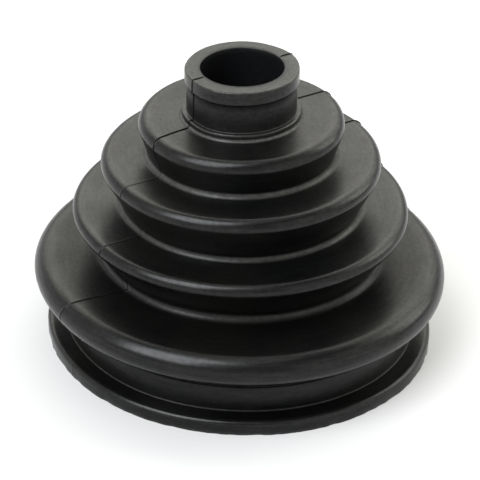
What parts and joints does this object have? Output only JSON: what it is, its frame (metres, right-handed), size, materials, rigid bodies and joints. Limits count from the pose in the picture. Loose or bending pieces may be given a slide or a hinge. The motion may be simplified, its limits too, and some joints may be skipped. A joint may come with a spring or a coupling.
{
  "type": "rubber bellows boot",
  "caption": "Conical moulded rubber bellows boot with a small collar at the top, stepped folds and a wide flanged cuff at the base.",
  "frame": {"origin": "centre of the flange's resting face, on the boot's axis", "axes": "+Z along the boot's axis towards the small collar; the mould's parting plane is the XZ plane"},
  "size_m": [0.1114, 0.1114, 0.08],
  "materials": {
    "rubber": "satin black moulded rubber with a fine grain"
  },
  "bodies": {
    "root": {"bellows_boot": "rubber"}
  },
  "joints": []
}
